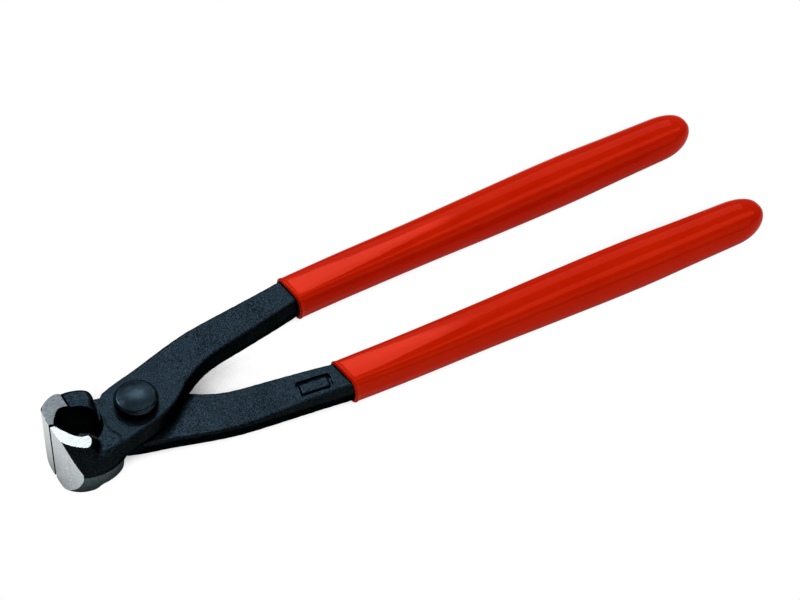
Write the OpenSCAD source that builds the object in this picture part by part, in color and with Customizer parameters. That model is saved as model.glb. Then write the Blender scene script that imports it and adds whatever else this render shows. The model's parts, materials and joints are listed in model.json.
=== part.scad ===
// End cutting nippers: two forged levers that turn on one rivet, with dipped sleeves on the handles.
// Millimetres. The origin is on the pivot axis, at the flat underside of the rivet.
// +X runs from the pivot to the handle ends, +Z along the pivot axis to the button head.

/* [Overall] */
// Length from the cutting edges to the ends of the handles
tool_length = 220; // [190:1:280]
// Distance from the pivot axis to the cutting edges
jaw_reach = 26; // [24.5:0.1:29]
// Distance between the centre lines of the closed handles at their ends
handle_spread = 40; // [36:1:60]
// Distance between the centre lines of the closed handles at the mouths of the sleeves
sleeve_spread = 35; // [30:1:44]

/* [Jaws] */
// Length of the cutting edges
edge_length = 22; // [18:0.5:26]
// Gap between the cutting edges when the jaws are closed
edge_gap = 0.3; // [0.1:0.1:1]
// Radius of a jaw's round outer wall at the parting line
wall_radius = 12.8; // [12:0.1:14]
// Distance from the cutting edges back to the centre of the outer wall
wall_setback = 9; // [8:0.1:10]
// Distance from the mid-line to the centre of the outer wall
wall_offset = 1; // [0:0.1:2]
// Draft angle of the forged outer wall
wall_draft = 16; // [8:1:20]
// Height of the flat land at the parting line of the outer wall
land_height = 2; // [1:0.2:4]
// Radius of the mouth behind the cutting edges
mouth_radius = 6.6; // [5:0.1:7.4]
// Distance from the cutting edges back to the centre of the mouth
mouth_setback = 9.5; // [8.8:0.1:10.5]
// Length of the ground facet on each side of a jaw
facet_length = 8.4; // [6:0.2:10]
// Slope of the ground facets towards the joint
facet_angle = 19; // [10:1:24]
// Slope of the steps behind the ground facets
step_angle = 52; // [40:1:70]
// Height of a jaw's back shoulder over the mid-plane
shoulder_height = 6.8; // [6:0.1:8]

/* [Joint] */
// Thickness of each lap plate
lap_thickness = 5.4; // [4.5:0.1:7]
// Gap between the two lap plates, and under the closing head
lap_clearance = 0.1; // [0.05:0.05:0.3]
// Radius of the round end of a lap plate about the pivot
lap_radius = 10.4; // [9:0.1:12]
// Gap between the end of a lap plate and the shoulder of the other jaw
shoulder_clearance = 0.4; // [0.2:0.1:1.5]

/* [Rivet] */
// Diameter of the rivet's shank
rivet_diameter = 9; // [7:0.25:10]
// Radial running clearance between the shank and the lower lever
rivet_clearance = 0.05; // [0.02:0.01:0.1]
// Diameter of both heads
head_diameter = 12.5; // [11:0.25:16]
// Height of the button head
head_height = 3.9; // [3:0.1:5]
// Height of the closing head
closing_height = 3; // [2:0.1:4]
// Radius of the rounded rim of the heads
head_round = 1.7; // [0.8:0.1:1.8]

/* [Levers] */
// Distance from the pivot axis to the crotch where the handles part
crotch_reach = 16.5; // [15:0.5:20]
// Distance from the mid-line to a lever's outer edge at the crotch
crotch_outer = 15.8; // [14:0.2:18]
// Width of a handle bar where it enters its sleeve
bar_width = 10.6; // [9:0.2:14]
// Thickness of a handle bar where it enters its sleeve
bar_thickness = 7; // [5.5:0.1:9]
// Radius of the forged edges
edge_radius = 2; // [1:0.1:2.5]
// Width of the handle forging at its thickest
handle_width = 13.2; // [11:0.2:16]
// Thickness of the handle forging at its thickest
handle_thickness = 10.4; // [9:0.2:12]
// Radius of the handle forging's edges at its thickest
handle_round = 4.7; // [3:0.1:5]
// Length of the recessed panel on the lower lever
panel_length = 9.4; // [6:0.2:12]
// Width of the recessed panel
panel_width = 5; // [3:0.2:7]
// Depth of the recessed panel
panel_depth = 0.4; // [0.2:0.1:0.8]

/* [Grips] */
// Distance from the pivot axis to the mouths of the sleeves
sleeve_start = 55.5; // [50:0.5:70]
// Wall thickness of the dipped sleeves
sleeve_wall = 0.8; // [0.6:0.1:2]
// Gap between a sleeve and its handle
sleeve_fit = 0.05; // [0.02:0.01:0.1]
// Length of the rounded nose of a sleeve
nose_length = 11.5; // [8:0.5:20]

/* [Hidden] */

$fn = 96;
// Points on each rounded corner of a lofted section, past its first
corner_steps = 4;
// Largest share of a section's half thickness that its corners may take up
corner_share = 0.98;
// Radius of the machined edges of the lap plates
lap_edge = 0.2;
// Cuts run this far past the faces that they open
over = 1;

steel_black = "#24282d";
rivet_black = "#191b1e";
grip_red = "#c8320c";

// Height of the mid-plane between the lap plates over the origin
mid_height = lap_thickness + lap_clearance + closing_height;
handle_end = tool_length - jaw_reach;
mouth_x = jaw_reach - mouth_setback;
wall_x = jaw_reach - wall_setback;
shoulder_x = lap_radius + shoulder_clearance;
facet_end_x = -jaw_reach + facet_length;
facet_end_z = edge_length / 2 - facet_length * tan(facet_angle);
// Feet of the steps behind the facets: on the lap plate's side and on the back shoulder's side
lap_step_x = facet_end_x + (facet_end_z - lap_thickness) / tan(step_angle);
shoulder_step_x = facet_end_x + (facet_end_z - shoulder_height) / tan(step_angle);
// The round end of a lap plate starts this far in front of the pivot axis
hub_x = 0.3 * lap_radius;

sleeve_y = sleeve_spread / 2;
sleeve_inner = sleeve_y - bar_width / 2;
sleeve_outer = sleeve_y + bar_width / 2;

// Value at a share t of the way from a to b
function mix(a, b, t) = a + (b - a) * t;

// Forged bar from the jaw to the sleeve: distance along X, inner edge, outer edge
bar_edges = [
    [-wall_x, -wall_offset - wall_radius + land_height, lap_radius / 2],
    [-lap_radius, -1.14 * lap_radius, 0.72 * lap_radius],
    [-hub_x, -0.98 * lap_radius, 0.97 * lap_radius],
    [0.25 * crotch_reach, -0.5 * crotch_reach, mix(lap_radius, crotch_outer, 0.3)],
    [0.6 * crotch_reach, -0.33 * crotch_reach, mix(lap_radius, crotch_outer, 0.62)],
    [crotch_reach, 0, crotch_outer],
    [mix(crotch_reach, sleeve_start, 0.2), 0.36 * sleeve_inner, mix(crotch_outer, sleeve_outer, 0.3)],
    [mix(crotch_reach, sleeve_start, 0.52), 0.64 * sleeve_inner, mix(crotch_outer, sleeve_outer, 0.61)],
    [sleeve_start, sleeve_inner, sleeve_outer]
];

// Row of the handle inside the sleeve at x: its centre line, half width, half thickness and edge
// radius, each at its own share of the way from the sleeve's mouth to the handle's end
function handle_row(x, centre, width, thickness, round) = [
    x,
    mix(sleeve_y, handle_spread / 2, centre),
    mix(bar_width, handle_width, width) / 2,
    mix(bar_thickness, handle_thickness, thickness) / 2,
    mix(edge_radius, handle_round, round)
];

handle_shape = [
    handle_row(sleeve_start, 0, 0, 0, 0),
    handle_row(mix(sleeve_start, handle_end, 0.13), 0.35, 0.6, 0.43, 0.4),
    handle_row(mix(sleeve_start, handle_end, 0.5), 0.56, 0.75, 0.8, 0.83),
    handle_row(handle_end - 3 * nose_length, 0.85, 1, 1, 1),
    handle_row(handle_end, 1, 1, 1, 1)
];

// Values of a row without its distance along X
function values(row) = [for (k = [1:len(row) - 1]) row[k]];

// Slope of a smooth curve at row i, from the rows on both sides of it
function slope(rows, i) =
    let (a = max(i - 1, 0), b = min(i + 1, len(rows) - 1))
    (values(rows[b]) - values(rows[a])) / (rows[b][0] - rows[a][0]);

// Smooth curve through the rows, one cubic between each two rows, held level past both ends
function curve(rows, x) =
    let (
        i = max([0, for (k = [0:len(rows) - 2]) if (x >= rows[k][0]) k]),
        span = rows[i + 1][0] - rows[i][0],
        t = min(max((x - rows[i][0]) / span, 0), 1)
    )
    (1 + 2 * t) * pow(1 - t, 2) * values(rows[i])
    + t * pow(1 - t, 2) * span * slope(rows, i)
    + t * t * (3 - 2 * t) * values(rows[i + 1])
    + t * t * (t - 1) * span * slope(rows, i + 1);

// Ease from 0 at a to 1 at b
function ease(a, b, x) =
    let (t = min(max((x - a) / (b - a), 0), 1))
    t * t * (3 - 2 * t);

// Quarter round of radius r about [y, z], starting at angle a
function corner(y, z, r, a) = [
    for (k = [0:corner_steps])
        let (turn = a + 90 * k / corner_steps)
        [y + r * cos(turn), z + r * sin(turn)]
];

// Ring of points at x: a rectangle in Y and Z with its own radius at the top and bottom edges
function ring(x, y0, y1, z0, z1, top, bottom) = [
    for (p = concat(
        corner(y1 - top, z1 - top, top, 0),
        corner(y0 + top, z1 - top, top, 90),
        corner(y0 + bottom, z0 + bottom, bottom, 180),
        corner(y1 - bottom, z0 + bottom, bottom, 270)
    )) [x, p[0], p[1]]
];

// Share of the handle's section that is left at x on the rounded nose that ends at tip
function nose(x, start, tip) =
    sqrt(max(1 - pow(max(x - start, 0) / (tip - start), 2), 0.001));

// Ring of the handle at x, grown by a wall all round, with its nose ending at tip
function handle_ring(x, wall, tip) =
    let (
        row = curve(handle_shape, x),
        size = nose(x, handle_end - nose_length, tip),
        w = (row[1] + wall) * size,
        h = (row[2] + wall) * size,
        r = min(row[3] + wall, corner_share * (row[2] + wall)) * size
    )
    ring(x, row[0] - w, row[0] + w, -h, h, r, r);

// Section of the bar between the jaw and the sleeve at x: inner edge, outer edge, underside, top
function bar_section(x) = [
    each curve(bar_edges, x),
    mix(lap_clearance, -bar_thickness, ease(crotch_reach, sleeve_start, x)) / 2,
    mix(lap_thickness, bar_thickness / 2, ease(0, sleeve_start, x))
];

// Ring of the bar at x
function bar_ring(x) =
    let (
        s = bar_section(x),
        bottom = mix(lap_edge, edge_radius, ease(crotch_reach, sleeve_start, x))
    )
    ring(x, s[0], s[1], s[2], s[3], edge_radius, bottom);

// Distances along X of the rings from a to b
function steps(a, b, count) = [for (k = [0:count]) a + (b - a) * k / count];

// Distances along X of the rings on a nose that ends at tip, closer together at the tip
function nose_steps(tip, count) =
    let (start = handle_end - nose_length)
    [for (k = [1:count]) start + (tip - start) * sin(90 * k / count)];

// Solid between the rings of a list, closed at both ends
module loft(rings) {
    n = len(rings[0]);
    last = len(rings) - 1;
    points = [for (r = rings) for (p = r) p];
    sides = [
        for (i = [0:last - 1])
            for (k = [0:n - 1])
                let (a = i * n + k, b = i * n + (k + 1) % n)
                each [[a, a + n, b + n], [a, b + n, b]]
    ];
    start_cap = [[for (k = [0:n - 1]) k]];
    end_cap = [[for (k = [0:n - 1]) last * n + n - 1 - k]];
    polyhedron(points, concat(start_cap, sides, end_cap));
}

// Handle forging from the sleeve's mouth to its rounded end, grown by a wall
function handle_rings(wall, tip) = [
    for (x = concat(
        steps(sleeve_start, handle_end - nose_length, 14),
        nose_steps(tip, 6)
    )) handle_ring(x, wall, tip)
];

// Mouth behind the cutting edges: a round hole with a wedge that runs out to the edges
module mouth() {
    // The wedge's faces touch the round hole where a line from the edges is its tangent
    half_angle = asin(mouth_radius / mouth_setback);
    touch_x = -jaw_reach + mouth_setback * pow(cos(half_angle), 2);
    touch_y = mouth_setback * cos(half_angle) * sin(half_angle);
    height = edge_length + 2 * over;
    translate([0, 0, -height / 2]) {
        translate([-mouth_x, 0, 0])
            cylinder(h = height, r = mouth_radius);
        linear_extrude(height = height)
            polygon([[-jaw_reach, 0], [touch_x, -touch_y], [-mouth_x, 0], [touch_x, touch_y]]);
    }
}

// Side outline of the jaw on the lever whose lap plate lies above the mid-plane
module jaw_side() {
    front_x = -jaw_reach - over;
    front_z = edge_length / 2 + over * tan(facet_angle);
    polygon([
        [front_x, front_z],
        [facet_end_x, facet_end_z],
        [lap_step_x, lap_thickness],
        [-shoulder_x, lap_thickness],
        [-shoulder_x, -shoulder_height],
        [shoulder_step_x, -shoulder_height],
        [facet_end_x, -facet_end_z],
        [front_x, -front_z]
    ]);
}

// Jaw block: drafted round wall, front ground to a radius about the pivot, ground side facets
module jaw_block() {
    land = land_height / 2;
    drafted = wall_radius - (edge_length / 2 + over - land) * tan(wall_draft);
    top = edge_length / 2 + over;
    depth = 2 * (wall_offset + wall_radius + over);
    intersection() {
        translate([-wall_x, -wall_offset, 0])
            rotate_extrude()
            polygon([
                [0, -top],
                [drafted, -top],
                [wall_radius, -land],
                [wall_radius, land],
                [drafted, top],
                [0, top]
            ]);
        cylinder(h = 2 * top, r = jaw_reach, center = true);
        translate([0, depth / 2, 0])
            rotate([90, 0, 0])
            linear_extrude(height = depth)
            jaw_side();
        translate([-2 * jaw_reach, -depth - edge_gap / 2, -top])
            cube([2 * jaw_reach, depth, 2 * top]);
    }
}

// Room for the other jaw outside the round end of the lap plate
module lap_end_room() {
    height = 2 * edge_length;
    difference() {
        translate([-2 * jaw_reach, 0, -height / 2])
            cube([2 * jaw_reach - hub_x, 2 * jaw_reach, height]);
        cylinder(h = height + 2 * over, r = lap_radius, center = true);
    }
}

// Forging with its lap plate above the mid-plane, its jaw at -Y and its handle at +Y
module lever(bore_radius) {
    tip = handle_end - sleeve_wall;
    bar_rings = [for (x = steps(-wall_x, sleeve_start, 36)) bar_ring(x)];
    tang_rings = handle_rings(0, tip);
    difference() {
        union() {
            jaw_block();
            loft(concat(bar_rings, [for (k = [1:len(tang_rings) - 1]) tang_rings[k]]));
        }
        mouth();
        lap_end_room();
        cylinder(h = 2 * edge_length, r = bore_radius, center = true);
    }
}

// Closed sleeve around the handle at +Y
module sleeve() {
    tip = handle_end - sleeve_wall;
    cavity = handle_rings(sleeve_fit, tip + sleeve_fit);
    mouth_ring = [for (p = cavity[0]) [p[0] - over, p[1], p[2]]];
    difference() {
        loft(handle_rings(sleeve_wall, handle_end));
        loft(concat([mouth_ring], cavity));
    }
}

// Plate with round corners that cuts the recessed panel into the bar's underside
module panel() {
    round = panel_width / 5;
    x = sleeve_start - panel_length;
    section = bar_section(x);
    slopes = (bar_section(x + 1) - bar_section(x - 1)) / 2;
    translate([x, (section[0] + section[1]) / 2, section[2] - over])
        rotate([0, -atan(slopes[2]), atan((slopes[0] + slopes[1]) / 2)])
        linear_extrude(height = panel_depth + over) {
            square([panel_length - 2 * round, panel_width], center = true);
            square([panel_length, panel_width - 2 * round], center = true);
            for (i = [-1, 1])
                for (j = [-1, 1])
                    translate([i * (panel_length / 2 - round), j * (panel_width / 2 - round)])
                        circle(r = round);
        }
}

// Half turn about the long axis that puts the lower lever and its grip in place
module lower_side() {
    translate([0, 0, mid_height])
        rotate([180, 0, 0])
        children();
}

module upper_side() {
    translate([0, 0, mid_height])
        children();
}

module upper_lever() {
    color(steel_black)
        upper_side()
        lever(rivet_diameter / 2);
}

module lower_lever() {
    color(steel_black)
        lower_side()
        difference() {
            lever(rivet_diameter / 2 + rivet_clearance);
            panel();
        }
}

// Outline of a head over a seat at height z, with a rounded rim, up for side 1 and down for side -1
function head_outline(z, height, side) = [
    [head_diameter / 2, z],
    for (k = [0:6])
        let (turn = 15 * k)
        [
            head_diameter / 2 - head_round * (1 - cos(turn)),
            z + side * (height - head_round * (1 - sin(turn)))
        ],
    [0, z + side * height]
];

module pivot_rivet() {
    lower_seat = -lap_thickness - lap_clearance;
    upper = head_outline(lap_thickness, head_height, 1);
    lower = head_outline(lower_seat, closing_height, -1);
    shank = rivet_diameter / 2;
    color(rivet_black)
        upper_side()
        rotate_extrude()
        polygon(concat(
            [[shank, lap_thickness]],
            upper,
            [for (k = [len(lower) - 1:-1:0]) lower[k]],
            [[shank, lower_seat]]
        ));
}

module upper_grip() {
    color(grip_red)
        upper_side()
        sleeve();
}

module lower_grip() {
    color(grip_red)
        lower_side()
        sleeve();
}

upper_lever();
lower_lever();
pivot_rivet();
upper_grip();
lower_grip();
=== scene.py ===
# End cutting nippers: two forged levers on one rivet, with dipped plastic sleeves on the handles.
import json
import math

import bpy
import numpy as np
from mathutils import Matrix, Vector


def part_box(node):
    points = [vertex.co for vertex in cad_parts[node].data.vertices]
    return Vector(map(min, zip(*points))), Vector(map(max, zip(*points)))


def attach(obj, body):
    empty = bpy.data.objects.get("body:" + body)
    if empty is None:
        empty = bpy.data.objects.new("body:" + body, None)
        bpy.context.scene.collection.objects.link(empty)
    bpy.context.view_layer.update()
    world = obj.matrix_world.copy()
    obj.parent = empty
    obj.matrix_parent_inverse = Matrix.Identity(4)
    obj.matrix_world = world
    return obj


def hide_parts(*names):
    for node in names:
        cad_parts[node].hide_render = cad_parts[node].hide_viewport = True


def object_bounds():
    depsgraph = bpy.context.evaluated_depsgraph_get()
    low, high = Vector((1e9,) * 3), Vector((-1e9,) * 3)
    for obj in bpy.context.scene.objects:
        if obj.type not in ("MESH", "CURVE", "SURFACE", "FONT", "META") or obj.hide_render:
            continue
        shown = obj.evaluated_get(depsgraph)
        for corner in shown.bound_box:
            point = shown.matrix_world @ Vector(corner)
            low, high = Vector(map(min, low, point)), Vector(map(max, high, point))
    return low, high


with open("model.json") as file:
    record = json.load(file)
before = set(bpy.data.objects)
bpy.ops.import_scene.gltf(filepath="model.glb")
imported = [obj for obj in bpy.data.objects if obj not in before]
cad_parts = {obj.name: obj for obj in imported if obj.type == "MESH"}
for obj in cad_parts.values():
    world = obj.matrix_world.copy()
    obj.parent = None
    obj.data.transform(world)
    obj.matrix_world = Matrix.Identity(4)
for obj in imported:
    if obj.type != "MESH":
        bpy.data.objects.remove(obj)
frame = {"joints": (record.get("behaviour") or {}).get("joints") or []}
cad_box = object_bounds()

# The levers: two like drop forgings in tool steel, each with a jaw, a lap plate and a handle bar that
# runs on as a tang inside its sleeve. The forged skin is blackened; painted shade darkens its steep
# walls, and a paler band of painted reflection lies low on the jaw. Only the front of the jaws and
# their side facets are ground bright.
mm = 0.001
sides = (("upper", 1), ("lower", -1))
pivot_height = frame["joints"][0]["pos_m"][2] / mm
lever_low, lever_high = (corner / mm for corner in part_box("upper_lever"))
jaw_reach = -lever_low.x
edge_half = lever_high.z - pivot_height
tang_end = lever_high.x
edge_gap = 1.05
front_flat = 2.4
front_radius = 17.2

# Forged jaw: a round wall with draft on both sides of its parting line
wall_centre = (-17.0, -1.0)
wall_radius = 13.0
wall_draft = math.tan(math.radians(16))
back_draft = 0.08
back_bow = 0.022
wall_parting = 0.3
wall_land = 0.5
forged_round = 1.1
jaw_blend = 1.2

# Ground facets at the sides of the jaw, and the forged steps behind them
facet_slope = math.tan(math.radians(11))
back_facet_slope = math.tan(math.radians(24))
step_slope = math.radians(57)
step_foot_x = -14.85
step_round = 0.5
step_curl = 0.16
step_curl_y = -8.0
step_curl_reach = 4.0
back_step_foot_x = -17.0
back_height = 6.3
shoulder_x = -10.8
shoulder_flare = 1.4
flare_taper = (4.5, 8.5)
shoulder_round = 2.0

# Mouth behind the cutting edges
mouth_x = -17.75
mouth_radius = 6.95
mouth_tip_x = -25.3
mouth_angle = math.radians(56)
mouth_soft = 1.0

# Lap plate, with its round end about the pivot and the bore for the rivet
lap_thickness = 5.4
lap_gap = 0.1
lap_radius = 10.4
lap_end_x = -3.1
bore_radius = {"upper": 4.52, "lower": 4.6}

# Handle bar: distance along X, inner edge and outer edge, in the frame of the lever itself
bar_edges = np.array([
    (-17.0, -11.8, 5.2),
    (-10.4, -11.85, 7.5),
    (-3.1, -10.2, 10.1),
    (4.1, -8.25, 12.0),
    (9.9, -5.45, 13.75),
    (16.5, 0.0, 15.8),
    (24.3, 4.4, 17.9),
    (36.8, 7.8, 20.05),
    (55.5, 12.2, 22.8),
    (63.0, 13.9, 23.8),
])
crotch_x = 16.5
bar_half_thickness = 3.65
bar_taper = (8.0, 55.5)
foot_taper = (14.0, 57.0)
tang_taper = (57.5, 66.0)
bar_draft = math.tan(math.radians(12))
bar_round = 0.6
lap_round = 0.25
lean_step = 0.1
parting_soft = 0.15
parting_share = 0.45
lap_parting = 1.0

# Handle under the sleeve: distance along X, centre line, half width, half thickness and edge radius
handle_rows = np.array([
    (55.5, 17.5, 5.45, 3.9, 1.4),
    (73.5, 18.1, 5.7, 3.95, 1.8),
    (100.0, 18.5, 5.9, 4.3, 2.2),
    (124.75, 18.9, 6.3, 4.85, 2.4),
    (150.0, 19.4, 6.5, 5.1, 2.8),
    (170.0, 19.7, 6.1, 4.75, 3.0),
    (194.0, 20.0, 5.7, 4.4, 3.2),
])
sleeve_start = handle_rows[0, 0]
nose_start = 183.0

# Tang inside the sleeve: the handle drawn in a little, with a round end
slim_taper = (sleeve_start + 1, sleeve_start + 14)
slim_width = 0.7
slim_thickness = 0.5
blunt_end = 0.0004

# Panel on the near handle, beside the sleeve: a bare field inside a sunk border
panel_x = 46.9
panel_shift = 0.7
panel_half = (5.1, 2.7)
panel_corner = 1.0
panel_depth = 0.9
panel_border = 0.8
panel_field_start = 1.5 * panel_border
panel_field_depth = 0.2
panel_round = 0.12
panel_probe = 1.0

# Uneven skin of the forging, which ends where the sleeve covers it
wave_height = 0.025
wave_fade = (sleeve_start + 2, sleeve_start + 6)


def ease(low, high, x):
    """Smooth step from 0 at low to 1 at high."""
    t = np.clip((x - low) / (high - low), 0, 1)
    return t * t * (3 - 2 * t)


def mix(a, b, share):
    """Value at a share of the way from a to b."""
    return a + (b - a) * share


def curve(rows, x):
    """Smooth curves through the columns of rows over x: one cubic between each two rows, whose
    slope at a row is that of the line from the row before it to the row after it."""
    knots = rows[:, 0]
    before = np.maximum(np.arange(len(rows)) - 1, 0)
    after = np.minimum(np.arange(len(rows)) + 1, len(rows) - 1)
    rates = (rows[after] - rows[before]) / (knots[after] - knots[before])[:, None]
    i = np.clip(np.searchsorted(knots, x, side="right") - 1, 0, len(rows) - 2)
    length = knots[i + 1] - knots[i]
    t = np.clip((x - knots[i]) / length, 0, 1)
    return [
        (1 + 2 * t) * (1 - t) ** 2 * rows[i, k]
        + t * (1 - t) ** 2 * length * rates[i, k]
        + t * t * (3 - 2 * t) * rows[i + 1, k]
        + t * t * (t - 1) * length * rates[i + 1, k]
        for k in range(1, rows.shape[1])
    ]


def round_max(a, b, size):
    """Larger of two distances. Where they differ by less than size, a parabola rounds the edge."""
    near = np.maximum(size - np.abs(a - b), 0) / size
    return np.maximum(a, b) + near * near * size / 4


def round_min(a, b, size):
    """Smaller of two distances, with the corner between them filled in the same way."""
    return -round_max(-a, -b, size)


def soft_abs(value, soft):
    """Size of a value, with its kink at 0 rounded over a length of soft."""
    return np.sqrt(value * value + soft * soft) - soft


def bar_shape(x):
    """Inner edge, outer edge, underside, top and parting height of the bar and its tang at x."""
    inner, outer = curve(bar_edges, x)
    centre, half_width, half_thickness, _ = curve(handle_rows, x)
    slim = ease(*slim_taper, x)
    along_nose = np.maximum(x - nose_start, 0) / (tang_end - nose_start)
    nose = np.sqrt(np.clip(1 - along_nose ** 2, blunt_end, 1))
    half_width = (half_width - slim_width * slim) * nose
    half_thickness = (half_thickness - slim_thickness * slim) * nose
    in_sleeve = ease(*tang_taper, x)
    spread = ease(crotch_x, sleeve_start, x)
    foot = mix(lap_gap / 2, -bar_half_thickness, ease(*foot_taper, x))
    top = mix(lap_thickness, bar_half_thickness, ease(*bar_taper, x))
    inner = mix(inner, centre - half_width, in_sleeve)
    outer = mix(outer, centre + half_width, in_sleeve)
    foot = mix(foot, -half_thickness, in_sleeve)
    top = mix(top, half_thickness, in_sleeve)
    parting = foot + mix(lap_parting, parting_share * (top - foot), spread)
    return inner, outer, foot, top, parting


def bar_field(x, y, z):
    """Signed distance to the bar: a top and an underside, and sides with draft about the parting line."""
    inner, outer, foot, top, parting = bar_shape(x)
    inner_ahead, outer_ahead, _, _, _ = bar_shape(x + lean_step)
    draft = bar_draft * soft_abs(z - parting, parting_soft)
    lean_in = (inner_ahead - inner) / lean_step
    lean_out = (outer_ahead - outer) / lean_step
    walls = np.maximum(
        (inner - y + draft) / np.sqrt(1 + lean_in ** 2 + bar_draft ** 2),
        (y - outer + draft) / np.sqrt(1 + lean_out ** 2 + bar_draft ** 2),
    )
    foot_round = mix(lap_round, bar_round, ease(crotch_x, sleeve_start, x))
    body = round_max(walls, z - top, bar_round)
    body = round_max(body, foot - z, foot_round)
    return np.maximum(body, np.maximum(wall_centre[0] - x, x - tang_end))


def step_field(x, height, foot_x, level):
    """Signed distance to a flat at a level that rises as a steep step in front of foot_x."""
    flat = height - level
    rise = flat * math.cos(step_slope) + (x - foot_x) * math.sin(step_slope)
    return round_min(flat, rise, step_round)


def wall_field(x, y, z):
    """Signed distance to the round wall of the jaw, which draws in on both sides of its parting line."""
    off = np.maximum(soft_abs(z - wall_parting, parting_soft) - wall_land, 0)
    fall = np.where(z > wall_parting, off * wall_draft, off * back_draft + off * off * back_bow)
    across = np.hypot(x - wall_centre[0], y - wall_centre[1])
    return (across - wall_radius + fall) / math.hypot(1, wall_draft)


def jaw_field(x, y, z):
    """Signed distance to the forged jaw, before its faces are ground: the round wall, the step down
    to the lap plate, the step down to the back shoulder, and the shoulder itself."""
    wall = wall_field(x, y, z)
    curl = step_curl * np.minimum((y - step_curl_y) ** 2, step_curl_reach ** 2)
    lap_side = step_field(x, z, step_foot_x - curl, lap_thickness)
    back_side = step_field(x, -z, back_step_foot_x, back_height)
    flare = shoulder_flare * ease(*flare_taper, np.abs(y))
    shoulder = round_max(x - shoulder_x - flare, back_side, shoulder_round)
    body = round_max(wall, lap_side, forged_round)
    body = round_max(body, shoulder, forged_round)
    return np.maximum(body, y + edge_gap / 2)


def front_field(x, y):
    """Signed distance to the ground front of the jaws: flat in the middle, with round sides."""
    centre_x = front_radius - jaw_reach
    front = np.hypot(x - centre_x, np.maximum(np.abs(y) - front_flat, 0)) - front_radius
    return np.minimum(front, centre_x - x)


def facet_field(x, z):
    """Signed distance to the planes of the two ground facets. Each falls from the cutting edge to the
    back, and ends in front of the foot of its step."""
    run = x + jaw_reach
    lap_facet = (z - edge_half + run * facet_slope) / math.hypot(1, facet_slope)
    back_facet = (-z - edge_half + run * back_facet_slope) / math.hypot(1, back_facet_slope)
    lap_facet = np.minimum(lap_facet, step_foot_x - x)
    back_facet = np.minimum(back_facet, back_step_foot_x - x)
    return np.maximum(lap_facet, back_facet)


def mouth_field(x, y):
    """Signed distance to the mouth: a round hole whose front is drawn in to a wedge behind the edges."""
    wedge = np.abs(y) * math.cos(mouth_angle) - (x - mouth_tip_x) * math.sin(mouth_angle)
    return round_max(np.hypot(x - mouth_x, y) - mouth_radius, wedge, mouth_soft)


def panel_field(x, y, z):
    """Signed distance to the plate with round corners that sinks the panel into the bar's underside,
    along the line of the bar there. It is deep along its border and shallow inside it."""
    inner, outer, _, _, _ = bar_shape(np.array([panel_x - panel_probe, panel_x, panel_x + panel_probe]))
    centre = (inner + outer) / 2 + panel_shift
    turn = math.atan2(centre[2] - centre[0], 2 * panel_probe)
    along = (x - panel_x) * math.cos(turn) + (y - centre[1]) * math.sin(turn)
    across = (y - centre[1]) * math.cos(turn) - (x - panel_x) * math.sin(turn)
    over_x = np.abs(along) - panel_half[0] + panel_corner
    over_y = np.abs(across) - panel_half[1] + panel_corner
    beyond = np.hypot(np.maximum(over_x, 0), np.maximum(over_y, 0))
    plate = beyond + np.minimum(np.maximum(over_x, over_y), 0) - panel_corner
    inside = ease(panel_border, panel_field_start, -plate)
    _, _, foot, _, _ = bar_shape(x)
    floor_z = foot + mix(panel_depth, panel_field_depth, inside)
    return round_max(plate, z - floor_z, panel_round)


def forging_waves(x, y, z):
    """Uneven skin of a forging: a product of sines of a few millimetres' wavelength, one for each
    direction, which fades out on the tang."""
    height = wave_height * (1 - ease(*wave_fade, x))
    along = np.sin(1.9 * x + 0.7 * z)
    across = np.sin(1.7 * y - 0.9 * x + 0.8)
    upright = np.sin(2.1 * z + 0.6 * y + 0.4)
    return height * along * across * upright


def forged_field(x, y, z):
    """Signed distance to a lever as it is forged, with its jaw and bar run together."""
    return round_min(jaw_field(x, y, z), bar_field(x, y, z), jaw_blend) + forging_waves(x, y, z)


def lever_field(side):
    """Field of one lever in its own frame: the forging, from which the ground faces, the mouth, the
    round end of the lap plate and the bore are cut, and on the lower lever also the panel."""
    def field(x, y, z):
        radius = np.hypot(x, y)
        body = np.maximum(forged_field(x, y, z), front_field(x, y))
        body = np.maximum(body, facet_field(x, z))
        body = np.maximum(body, -mouth_field(x, y))
        room = np.minimum(np.minimum(radius - lap_radius, lap_end_x - x), y)
        body = np.maximum(body, room)
        body = np.maximum(body, bore_radius[side] - radius)
        if side == "lower":
            body = np.maximum(body, -panel_field(x, y, z))
        return body
    return field


def slopes(field, points, step=0.01):
    """Slope of a field at points along each axis, from its values a small step to both sides."""
    moves = np.eye(3) * step
    rises = [field(*(points + move).T) - field(*(points - move).T) for move in moves]
    return np.stack([rise / (2 * step) for rise in rises], axis=1)


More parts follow.
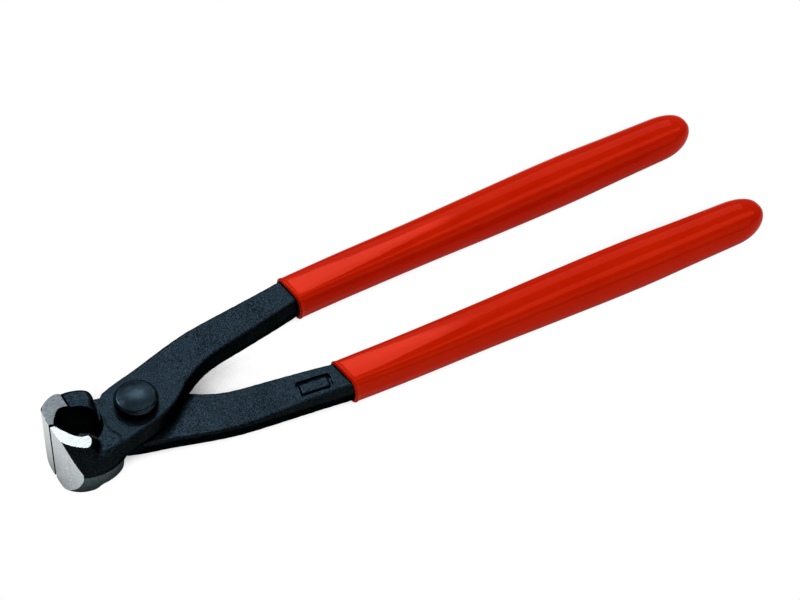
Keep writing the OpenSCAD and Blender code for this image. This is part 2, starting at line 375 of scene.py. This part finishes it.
def skin(field, axes, hold=0.05):
    """Points and triangles of the surface where a field is 0, on the grid of three rows of places.

    A grid edge whose ends lie on both sides of the surface is cut where the field is 0, and the
    field's slope there is the normal of the cut. Each cell with cuts gets one point, the one that
    lies closest to the planes of all its cuts, so that ground edges stay crisp. The hold draws it to
    the middle of the cuts where the planes leave it free. Each cut edge then joins the points of its
    four cells, split along the diagonal that lies closer to the surface."""
    value = field(axes[0][:, None, None], axes[1][None, :, None], axes[2][None, None, :])
    inside = (value < 0).astype(np.int8)
    cells = tuple(n - 1 for n in value.shape)
    cuts = []
    rings = []
    for axis in range(3):
        step = np.diff(inside, axis=axis)
        start = np.argwhere(step)
        end = start + np.eye(3, dtype=int)[axis]
        first, last = value[tuple(start.T)], value[tuple(end.T)]
        cut = np.stack([axes[k][start[:, k]] for k in range(3)], axis=1)
        cut[:, axis] += first / (first - last) * (axes[axis][end[:, axis]] - cut[:, axis])
        b, c = np.eye(3, dtype=int)[[(axis + 1) % 3, (axis + 2) % 3]]
        around = (b + c, c, 0 * b, b)
        ring = np.stack([np.ravel_multi_index((start - move).T, cells) for move in around], axis=1)
        backward = step[tuple(start.T)] > 0
        ring[backward] = ring[backward, ::-1]
        cuts.append(cut)
        rings.append(ring)
    cuts = np.concatenate(cuts)
    rings = np.concatenate(rings)
    normals = slopes(field, cuts)
    normals /= np.linalg.norm(normals, axis=1, keepdims=True) + 1e-9

    used, owner = np.unique(rings, return_inverse=True)
    owner = owner.reshape(rings.shape)
    flat = owner.ravel()

    def total(of_cuts):
        """Sum over the cuts of each cell, of one value for each cut."""
        return np.bincount(flat, np.repeat(of_cuts, 4), len(used))

    count = total(np.ones(len(cuts)))
    middle = np.stack([total(cuts[:, k]) / count for k in range(3)], axis=1)
    lift = np.sum(normals[:, None, :] * (cuts[:, None, :] - middle[owner]), axis=2).ravel()
    spread = np.repeat(normals, 4, axis=0)
    pull = np.stack([np.bincount(flat, spread[:, k] * lift, len(used)) for k in range(3)], axis=1)
    planes = np.stack([
        np.stack([total(normals[:, i] * normals[:, j]) for j in range(3)], axis=1)
        for i in range(3)
    ], axis=1)
    points = middle + np.linalg.solve(planes + hold * np.eye(3), pull[:, :, None])[:, :, 0]
    corner = np.stack(np.unravel_index(used, cells), axis=1)
    low = np.stack([axes[k][corner[:, k]] for k in range(3)], axis=1)
    high = np.stack([axes[k][corner[:, k] + 1] for k in range(3)], axis=1)
    points = np.clip(points, low, high)

    p = points[owner]
    first_off = np.abs(field(*((p[:, 0] + p[:, 2]) / 2).T))
    second_off = np.abs(field(*((p[:, 1] + p[:, 3]) / 2).T))
    by_first = (first_off <= second_off)[:, None]
    split = np.where(by_first, owner[:, [0, 1, 2, 0, 2, 3]], owner[:, [0, 1, 3, 1, 2, 3]])
    return points, split.reshape(-1, 3)


def add_piece(name, points, faces, materials, face_materials=None):
    """Smooth mesh object at the origin, from points in millimetres and rows of corner numbers."""
    mesh = bpy.data.meshes.new(name)
    mesh.from_pydata(points * mm, [], faces)
    for material in materials:
        mesh.materials.append(material)
    if face_materials is not None:
        mesh.polygons.foreach_set("material_index", face_materials.astype(np.int32))
    mesh.polygons.foreach_set("use_smooth", np.ones(len(mesh.polygons), dtype=bool))
    mesh.update()
    piece = bpy.data.objects.new(name, mesh)
    bpy.context.scene.collection.objects.link(piece)
    return piece


def in_place(points, turn):
    """Points of a lever's own frame in the shared frame, where a turn of -1 is half a turn about X."""
    return points * (1, turn, turn) + (0, 0, pivot_height)


def new_material(name):
    """Empty node material, its tree and its output node's surface socket."""
    material = bpy.data.materials.new(name)
    material.use_nodes = True
    material.node_tree.nodes.clear()
    output = material.node_tree.nodes.new("ShaderNodeOutputMaterial")
    return material, material.node_tree, output.inputs["Surface"]


def add_node(tree, kind, settings=(), **inputs):
    """Node of a kind with its settings. Inputs are socket names, with a value or a socket to link."""
    node = tree.nodes.new("ShaderNode" + kind)
    for name, value in dict(settings).items():
        setattr(node, name, value)
    for name, value in inputs.items():
        socket = node.inputs[name.replace("_", " ")]
        if isinstance(value, bpy.types.NodeSocket):
            tree.links.new(value, socket)
        else:
            socket.default_value = value
    return node


def noise(tree, scale, detail=3.0, stretch=(1, 1, 1)):
    """Noise on Object coordinates, with so many grains to a metre, stretched along the axes."""
    place = add_node(tree, "TexCoord").outputs["Object"]
    place = add_node(tree, "Mapping", Vector=place, Scale=stretch).outputs["Vector"]
    return add_node(tree, "TexNoise", Vector=place, Scale=scale, Detail=detail).outputs["Fac"]


def ramp(tree, fac, stops):
    """Colours between stops of place and colour, read by a factor."""
    node = add_node(tree, "ValToRGB", Fac=fac)
    elements = node.color_ramp.elements
    while len(elements) < len(stops):
        elements.new(0.5)
    for element, (place, colour) in zip(elements, stops):
        element.position = place
        element.color = (*colour, 1)
    return node.outputs["Color"]


def span(tree, value, low, high):
    """Value from 0 to 1, spread between low and high."""
    return add_node(tree, "MapRange", Value=value, To_Min=low, To_Max=high).outputs["Result"]


black_tint = (0.4, 0.4, 0.4, 1)


def forged_black(name, dark, light):
    """Blackened forged skin between two colours: fine grain, a little lighter and rougher in patches.
    Given paler or darker colours, it also makes the copies that carry painted reflection and painted
    shade.
    """
    material, tree, surface = new_material(name)
    grain = noise(tree, scale=2800, detail=2.0)
    patches = noise(tree, scale=160, detail=4.0)
    tone = add_node(tree, "Math", {"operation": "MULTIPLY"}).outputs["Value"]
    tree.links.new(grain, tone.node.inputs[0])
    tree.links.new(span(tree, patches, 0.8, 1.2), tone.node.inputs[1])
    colour = ramp(tree, tone, [(0.38, dark), (0.62, light)])
    bump = add_node(tree, "Bump", Strength=0.55, Distance=0.0001, Height=grain).outputs["Normal"]
    shader = add_node(
        tree, "BsdfPrincipled", Base_Color=colour, Metallic=1.0, Specular_Tint=black_tint,
        Roughness=span(tree, patches, 0.28, 0.38), Normal=bump,
    )
    tree.links.new(shader.outputs["BSDF"], surface)
    return material


def ground_steel():
    """Bright ground steel with fine grinding lines that run back from the cutting edge."""
    material, tree, surface = new_material("ground_steel")
    lines = noise(tree, scale=420, stretch=(1, 6, 6))
    colour = ramp(tree, lines, [(0.35, (0.43, 0.48, 0.495)), (0.65, (0.67, 0.72, 0.735))])
    bump = add_node(tree, "Bump", Strength=0.35, Distance=0.00006, Height=lines).outputs["Normal"]
    shader = add_node(
        tree, "BsdfPrincipled", Base_Color=colour, Roughness=span(tree, lines, 0.2, 0.3),
        Metallic=1.0, Normal=bump,
    )
    tree.links.new(shader.outputs["BSDF"], surface)
    return material


lever_materials = [
    forged_black("forged_black", (0.0025, 0.004, 0.005), (0.016, 0.0265, 0.035)),
    ground_steel(),
    # Paler copy of the skin: painted reflection of the bright table, for the band low on the jaw wall
    forged_black("low_band_painted_reflection", (0.05, 0.07, 0.07), (0.09, 0.12, 0.12)),
    # Darker copy of the skin: painted shade for the steep walls
    forged_black("steep_wall_painted_shade", (0.0015, 0.002, 0.0023), (0.0085, 0.012, 0.0135)),
]

# Grid of the levers' fields: fine along the jaw and bar, coarse along the hidden tang, and shifted a
# little so that no flat face lies in one of its planes
grid_margin = 1.0
jaw_grid_end = -8.0
bar_grid_end = sleeve_start + 3
jaw_step = 0.25
bar_step = 0.4
tang_step = 3.0
tang_nose_step = 1.0
section_step = 0.25
grid_sides = (-15.1, 27.6)
grid_shift = {"y": 0.03, "z": 0.04}
grid_x = np.concatenate([
    np.arange(-jaw_reach - grid_margin, jaw_grid_end, jaw_step),
    np.arange(jaw_grid_end, bar_grid_end, bar_step),
    np.arange(bar_grid_end, nose_start, tang_step),
    np.arange(nose_start, tang_end + grid_margin, tang_nose_step),
])
grid_y = np.arange(*grid_sides, section_step) + grid_shift["y"]
grid_z = np.arange(-edge_half - grid_margin, edge_half + grid_margin, section_step) + grid_shift["z"]

# Finish of each triangle, as its place in the list of materials, from the face it lies on and its slope.
# Besides the forged skin and the ground steel, the band low on the jaw wall takes painted reflection
# and steep faces take painted shade
ground_near = 0.02
reflection_band_near = 0.12
steep_share = 0.6
lever_crease = math.radians(38)
for side, turn in sides:
    points, faces = skin(lever_field(side), (grid_x, grid_y, grid_z))
    x, y, z = points[faces].mean(axis=1).T
    on_front = front_field(x, y) > -ground_near
    on_facet = facet_field(x, z) > -ground_near
    ground = (on_front | on_facet) & (forged_field(x, y, z) < -ground_near)
    # The band of jaw wall below its parting line gets the paler copy, a painted reflection of the table
    on_wall = np.abs(wall_field(x, y, z)) < reflection_band_near
    painted_reflection_band = ~ground & on_wall & (z < wall_parting - wall_land)
    a, b, c = points[faces].transpose(1, 0, 2)
    facing = np.cross(b - a, c - a)
    steep = np.abs(facing[:, 2]) < steep_share * np.linalg.norm(facing, axis=1)
    # Steep faces elsewhere get the darker copy, painted shade
    wall = ~ground & ~painted_reflection_band & steep
    finish_and_painted_light = ground + 2 * painted_reflection_band + 3 * wall
    lever = add_piece(side + "_forging", in_place(points, turn), faces, lever_materials, finish_and_painted_light)
    lever.data.set_sharp_from_angle(angle=lever_crease)
    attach(lever, side)
    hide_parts(side + "_lever")

# The rivet: one blackened steel pin with a broad button head on top and a flat closing head below,
# set in the upper lever. The lower lever turns on its shank.
rivet_low, rivet_high = (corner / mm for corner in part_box("pivot_rivet"))
head_radius = rivet_high.x
shank_radius = 4.5
head_seat = pivot_height + lap_thickness
closing_seat = pivot_height - lap_thickness - lap_gap
rim_round = 1.3
closing_round = 1.6
rim_turn = 80
crown_height = 0.8
seat_chamfer = 0.25
shank_chamfer = 0.05
pole_radius = 0.4
foot_rings = 8
closing_rings = 16
rim_rings = 24
crown_rings = 24
rivet_around = 128
rivet_crease = math.radians(50)


def ring_faces(rings, around):
    """Quads between rings of points, with a fan of triangles to one point before and after them."""
    k = np.arange(around)
    n = (k + 1) % around
    i = 1 + around * np.arange(rings - 1)[:, None]
    quads = np.stack([i + k, i + n, i + around + n, i + around + k], axis=-1).reshape(-1, 4)
    last = 1 + around * (rings - 1)
    start_fan = np.stack([0 * k, 1 + n, 1 + k], axis=1)
    end_fan = np.stack([last + k, last + n, 0 * k + last + around], axis=1)
    return start_fan.tolist() + quads.tolist() + end_fan.tolist()


def arc(centre, radius, start, end, count):
    """Points of a round of a profile about a centre, from one angle to another in degrees."""
    turn = np.radians(np.linspace(start, end, count))
    return np.stack([centre[0] + radius * np.cos(turn), centre[1] + radius * np.sin(turn)], axis=1)


def rivet_points(around):
    """Profile of the rivet as radius and height, from the foot to the crown, turned about the pivot.
    The crown rises as a parabola from the rim to the axis."""
    crown_r = np.linspace(head_radius - rim_round, pole_radius, crown_rings)
    crown = rivet_high.z - crown_height * (crown_r / head_radius) ** 2
    rim_top = crown[0]
    foot_r = np.linspace(pole_radius, head_radius - closing_round, foot_rings, endpoint=False)
    closing_centre = (head_radius - closing_round, rivet_low.z + closing_round)
    rim_centre = (head_radius - rim_round, rim_top - rim_round)
    profile = np.concatenate([
        np.stack([foot_r, np.full(foot_rings, rivet_low.z)], axis=1),
        arc(closing_centre, closing_round, -90, 0, closing_rings),
        [(head_radius, closing_seat - seat_chamfer), (head_radius - seat_chamfer, closing_seat)],
        [(shank_radius + shank_chamfer, closing_seat), (shank_radius, closing_seat + shank_chamfer)],
        [(shank_radius, head_seat - shank_chamfer), (shank_radius + shank_chamfer, head_seat)],
        [(head_radius - seat_chamfer, head_seat), (head_radius, head_seat + seat_chamfer)],
        arc(rim_centre, rim_round, 0, rim_turn, rim_rings),
        np.stack([crown_r, crown], axis=1),
    ])
    turn = np.linspace(0, 2 * np.pi, around, endpoint=False)
    radius, height = profile[:, :1], profile[:, 1:]
    rings = np.stack([radius * np.cos(turn), radius * np.sin(turn), height + 0 * turn], axis=-1)
    foot_pole = [(0, 0, rivet_low.z)]
    crown_pole = [(0, 0, rivet_high.z)]
    return np.concatenate([foot_pole, rings.reshape(-1, 3), crown_pole]), len(profile)


def rivet_black():
    """Blackened rivet steel, smoother than the forgings, with faint hammer marks on the crown."""
    material, tree, surface = new_material("rivet_black")
    marks = noise(tree, scale=700)
    colour = ramp(tree, marks, [(0.3, (0.011, 0.018, 0.023)), (0.7, (0.018, 0.029, 0.036))])
    bump = add_node(tree, "Bump", Strength=0.2, Distance=0.0001, Height=marks).outputs["Normal"]
    shader = add_node(
        tree, "BsdfPrincipled", Base_Color=colour, Metallic=1.0, Specular_Tint=black_tint,
        Roughness=span(tree, marks, 0.22, 0.28), Normal=bump,
    )
    tree.links.new(shader.outputs["BSDF"], surface)
    return material


points, rings = rivet_points(rivet_around)
rivet = add_piece("rivet", points, ring_faces(rings, rivet_around), [rivet_black()])
rivet.data.set_sharp_from_angle(angle=rivet_crease)
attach(rivet, "upper")
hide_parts("pivot_rivet")

# The sleeves: red plastic that each handle was dipped in, thin and glossy. It follows the forged
# handle, with crowned faces that get rounder towards the end, and has a rolled edge at its mouth.
sleeve_end = cad_box[1].x / mm
sleeve_wall = 0.75
sleeve_room = 0.04
face_draft = 12.0
crown_angle = (5.0, 28.0)
crown_full_x = 130.0
nose_lift = {"upper": 1.2, "lower": -1.2}
nose_power = 2.3
lip_tilt = {"upper": -0.12, "lower": 0.15}
lip_tilt_reach = 8.0
lip_shift = {"upper": 1.2, "lower": -0.1}
bead_height = 0.19
bead_width = 0.5
bead_place = 0.6

# Rings of a sleeve: first, last and number of the angles round its ends, and of the places along its bead
lip_turns = (170, 10, 9)
nose_turns = (0, 87, 26)
cavity_turns = (85, 0, 10)
bead_places = (0.3, 3.0, 16)
bead_end = 4.0
lip_inside = 1.0
cavity_margin = 2.0
inner_rings = 60
outer_rings = 70
sleeve_around = 144


def drawn_to(rows, half):
    """Rows of values, each moved and scaled so that it runs from minus half to plus half."""
    middle = (rows.max(1, keepdims=True) + rows.min(1, keepdims=True)) / 2
    return (rows - middle) * 2 * half / np.ptp(rows, axis=1)[:, None]


def handle_section(x, around, fine=10):
    """Outline of the sleeve at each x, and its outward normals, as rows of points in Y and Z.

    The outline is walked by the angle of its normal. Its radius of curvature is the edge radius,
    plus a bump at the angle of each of the six faces, so that a narrow bump is a flat face and a
    wide one a crowned face. The sum of the steps is then drawn to the section's width and height."""
    centre, half_width, half_height, edge = (v[:, None] for v in curve(handle_rows, x))
    half_width = half_width + sleeve_wall
    half_height = half_height + sleeve_wall
    edge = edge + sleeve_wall
    crown = mix(*crown_angle, ease(sleeve_start, crown_full_x, x))[:, None]
    angle = np.linspace(0, 360, around * fine, endpoint=False)[None, :]
    side_length = (half_height - edge) / math.cos(math.radians(face_draft))
    top_length = 2 * (half_width - edge - side_length * math.sin(math.radians(face_draft)))
    radius = edge + 0 * angle
    for face, length in (
        (90, top_length), (270, top_length), (face_draft, side_length), (-face_draft, side_length),
        (180 - face_draft, side_length), (180 + face_draft, side_length),
    ):
        off = np.clip(np.abs((angle - face + 180) % 360 - 180) / crown, 0, 1)
        radius = radius + length * (1 + np.cos(np.pi * off)) / 2 / np.radians(crown)
    turn = np.radians(angle)
    y = drawn_to(np.cumsum(-radius * np.sin(turn), axis=1), half_width)
    z = drawn_to(np.cumsum(radius * np.cos(turn), axis=1), half_height)
    pick = slice(None, None, fine)
    normal = np.stack([np.cos(turn) + 0 * y, np.sin(turn) + 0 * y], axis=-1)
    return np.stack([y, z], axis=-1)[:, pick], normal[:, pick], centre


def sleeve_points(side, around):
    """Rings of a sleeve from the end of its cavity along the inner wall to the lip at the mouth, and
    back along the outside to the nose, where each ring shrinks as a quarter of a full, blunt ellipse."""
    lip_turn = np.radians(np.linspace(*lip_turns))
    nose_turn = np.radians(np.linspace(*nose_turns))
    cavity_turn = np.radians(np.linspace(*cavity_turns))
    start_x = sleeve_start + lip_shift[side]
    cavity_end = sleeve_end - sleeve_wall
    inner_x = np.concatenate([
        nose_start + (cavity_end - nose_start) * np.sin(cavity_turn),
        np.linspace(nose_start - cavity_margin, start_x + lip_inside, inner_rings),
    ])
    lip_x = start_x + sleeve_wall / 2 * (1 - np.sin(lip_turn))
    outer_x = np.concatenate([
        start_x + np.linspace(*bead_places),
        np.linspace(start_x + bead_end, nose_start, outer_rings)[:-1],
        nose_start + (sleeve_end - nose_start) * np.sin(nose_turn),
    ])
    x = np.concatenate([inner_x, lip_x, outer_x])
    near = np.clip(x, start_x, None) - start_x
    bead = bead_height * np.exp(-((near - bead_place) / bead_width) ** 2)
    depth = np.concatenate([
        np.full(len(inner_x), 1.0), (1 - np.cos(lip_turn)) / 2, np.zeros(len(outer_x))
    ])
    outline, normal, centre = handle_section(x, around)
    out = bead * (1 - depth) - depth * (sleeve_wall - sleeve_room)
    ring = outline + normal * out[:, None, None]
    tip = np.where(depth > 0.5, cavity_end, sleeve_end)
    along_nose = np.maximum(x - nose_start, 0) / (tip - nose_start)
    nose = np.clip(1 - along_nose ** nose_power, 0, 1) ** (1 / nose_power)
    lift = nose_lift[side] * along_nose ** 2
    ring = ring * nose[:, None, None]
    tilt = lip_tilt[side] * (1 - ease(0, lip_tilt_reach, near))
    along = x[:, None] + tilt[:, None] * ring[:, :, 0]
    rings = np.stack([along, ring[:, :, 0] + centre, ring[:, :, 1] + lift[:, None]], axis=-1)
    end_y = centre[-1, 0]
    end_z = nose_lift[side]
    cavity_pole = [(cavity_end, end_y, end_z)]
    nose_pole = [(sleeve_end, end_y, end_z)]
    return np.concatenate([cavity_pole, rings.reshape(-1, 3), nose_pole]), len(x)


def dipped_red():
    """Red dipped plastic: glossy, with faint clouds of colour, runs along the handle and fine waves."""
    material, tree, surface = new_material("dipped_red")
    clouds = noise(tree, scale=60)
    runs = noise(tree, scale=500, detail=2.0, stretch=(0.12, 1, 1))
    colour = ramp(tree, clouds, [(0.3, (0.61, 0.010, 0.0002)), (0.7, (0.67, 0.014, 0.0004))])
    bump = add_node(tree, "Bump", Strength=0.08, Distance=0.0002, Height=runs).outputs["Normal"]
    shader = add_node(
        tree, "BsdfPrincipled", Base_Color=colour, Metallic=0.06, Roughness=span(tree, runs, 0.06, 0.1),
        Specular_IOR_Level=0.045, Specular_Tint=(1, 0.8, 0.4, 1), Normal=bump,
    )
    tree.links.new(shader.outputs["BSDF"], surface)
    return material


red = dipped_red()
for side, turn in sides:
    points, rings = sleeve_points(side, sleeve_around)
    faces = ring_faces(rings, sleeve_around)
    sleeve = add_piece(side + "_sleeve", in_place(points, turn), faces, [red])
    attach(sleeve, side)
    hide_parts(side + "_grip")

# The studio: a white table on which the tool lies on its jaws and its sleeves, a softbox behind it with
# a brighter core, a small bright one at the left, a panel above and dim fills at the front and right.
table_half = 1.5
rest_front = (-26.0, -2.5)
rest_back = (175.0, 2.5)
table_slope = (rest_back[1] - rest_front[1]) / (rest_back[0] - rest_front[0])
table_corners = np.array([(-1, -1), (1, -1), (1, 1), (-1, 1)]) * table_half / mm
table_z = rest_front[1] + table_slope * (table_corners[:, 0] - rest_front[0])

# Shade on the table, from the share of open room over it: in the camera's view, and in reflections
shade_reach = 0.022
shade_side = (-0.3, -0.7, 0.65)
shade_from, shade_to = 0.36, 0.62
contact_reach = 0.02
contact_from, contact_to = 0.4, 0.95
contact_shade = 0.15

# Lamps and sky
tool_middle = (84.6, 1.3, pivot_height)
lamp_colour = (0.9, 0.97, 1.05)
sky_colour = (0.9, 0.95, 1.0, 1)
sky_strength = 0.25


def larger(tree, a, b):
    """Larger of two values."""
    node = add_node(tree, "Math", {"operation": "MAXIMUM"})
    tree.links.new(a, node.inputs[0])
    tree.links.new(b, node.inputs[1])
    return node.outputs["Value"]


def white_table():
    """White to the camera and in reflections, darker where the tool closes it in, and a plain pale
    surface to all other light."""
    material, tree, surface = new_material("white_table")
    rays = add_node(tree, "LightPath").outputs
    seen = larger(tree, rays["Is Camera Ray"], rays["Is Glossy Ray"])
    seen = larger(tree, seen, rays["Is Transmission Ray"])
    front_x, front_y, front_z = shade_side
    front = add_node(tree, "CombineXYZ", X=front_x, Y=front_y, Z=front_z).outputs["Vector"]
    open_share = add_node(tree, "AmbientOcclusion", Distance=shade_reach, Normal=front).outputs["AO"]
    shade = add_node(tree, "MapRange", Value=open_share, From_Min=shade_from, From_Max=shade_to)
    near_share = add_node(tree, "AmbientOcclusion", Distance=contact_reach).outputs["AO"]
    contact = add_node(
        tree, "MapRange", Value=near_share, From_Min=contact_from, From_Max=contact_to,
        To_Min=contact_shade,
    )
    strength = add_node(
        tree, "Mix", Factor=rays["Is Camera Ray"], A=contact.outputs["Result"], B=shade.outputs["Result"]
    )
    glow = add_node(tree, "Emission", Color=(1, 1, 1, 1), Strength=strength.outputs["Result"])
    lit = add_node(tree, "BsdfDiffuse", Color=(0.92, 0.92, 0.92, 1))
    blend = add_node(tree, "MixShader", Fac=seen)
    tree.links.new(lit.outputs["BSDF"], blend.inputs[1])
    tree.links.new(glow.outputs["Emission"], blend.inputs[2])
    tree.links.new(blend.outputs["Shader"], surface)
    return material


table_points = np.column_stack([table_corners, table_z])
table = add_piece("table", table_points, [(0, 1, 2, 3)], [white_table()])


def softbox(name, toward, distance, size, radiance):
    """Area lamp in a direction from the middle of the tool, facing it, with its width along the tool.
    Its power is its radiance times pi times its area."""
    lamp = bpy.data.lights.new(name, "AREA")
    lamp.shape = "RECTANGLE"
    lamp.size, lamp.size_y = size
    lamp.energy = radiance * math.pi * size[0] * size[1]
    lamp.color = lamp_colour
    box = bpy.data.objects.new(name, lamp)
    away = Vector(toward).normalized()
    along = (Vector((1, 0, 0)) - away * away.x).normalized()
    turn = Matrix((along, away.cross(along), away)).transposed()
    box.matrix_world = Matrix.Translation(Vector(tool_middle) * mm + away * distance) @ turn.to_4x4()
    bpy.context.scene.collection.objects.link(box)


softbox("overhead", (0.3, 0.67, 0.68), 1.15, (0.85, 0.364), 1.5)
softbox("overhead_core", (0.19, 0.585, 0.788), 1.1, (0.31, 0.26), 5.6)
softbox("left_box", (-0.3, 0.6, 0.741), 1.1, (0.22, 0.22), 22.0)
softbox("top_panel", (0.34, 0.131, 0.931), 1.2, (1.4, 0.337), 2.0)
softbox("front_fill", (0.2, -0.8, 0.55), 1.3, (1.5, 0.8), 1.1)
softbox("right_panel", (0.72, 0.6, 0.36), 1.2, (0.5, 0.5), 0.1)

world = bpy.data.worlds.new("studio")
world.use_nodes = True
sky = world.node_tree.nodes["Background"].inputs
sky["Color"].default_value = sky_colour
sky["Strength"].default_value = sky_strength
bpy.context.scene.world = world
bpy.context.scene.view_settings.view_transform = "Standard"

# The camera: a long lens that looks down on the tool from beside its jaws, as in the photograph.
view_azimuth = math.radians(29.37)
view_elevation = math.radians(48.48)
view_distance = 877.0
view_target = (84.5, 1.5, pivot_height + 0.1)
camera_data = bpy.data.cameras.new("camera")
camera_data.sensor_fit = "HORIZONTAL"
camera_data.sensor_width = 36.0
camera_data.lens = 137.47
camera = bpy.data.objects.new("camera", camera_data)
back = Vector((
    -math.sin(view_azimuth) * math.cos(view_elevation),
    -math.cos(view_azimuth) * math.cos(view_elevation),
    math.sin(view_elevation),
))
camera.location = (Vector(view_target) + back * view_distance) * mm
camera.rotation_euler = back.to_track_quat("Z", "Y").to_euler()
bpy.context.scene.collection.objects.link(camera)
bpy.context.scene.camera = camera
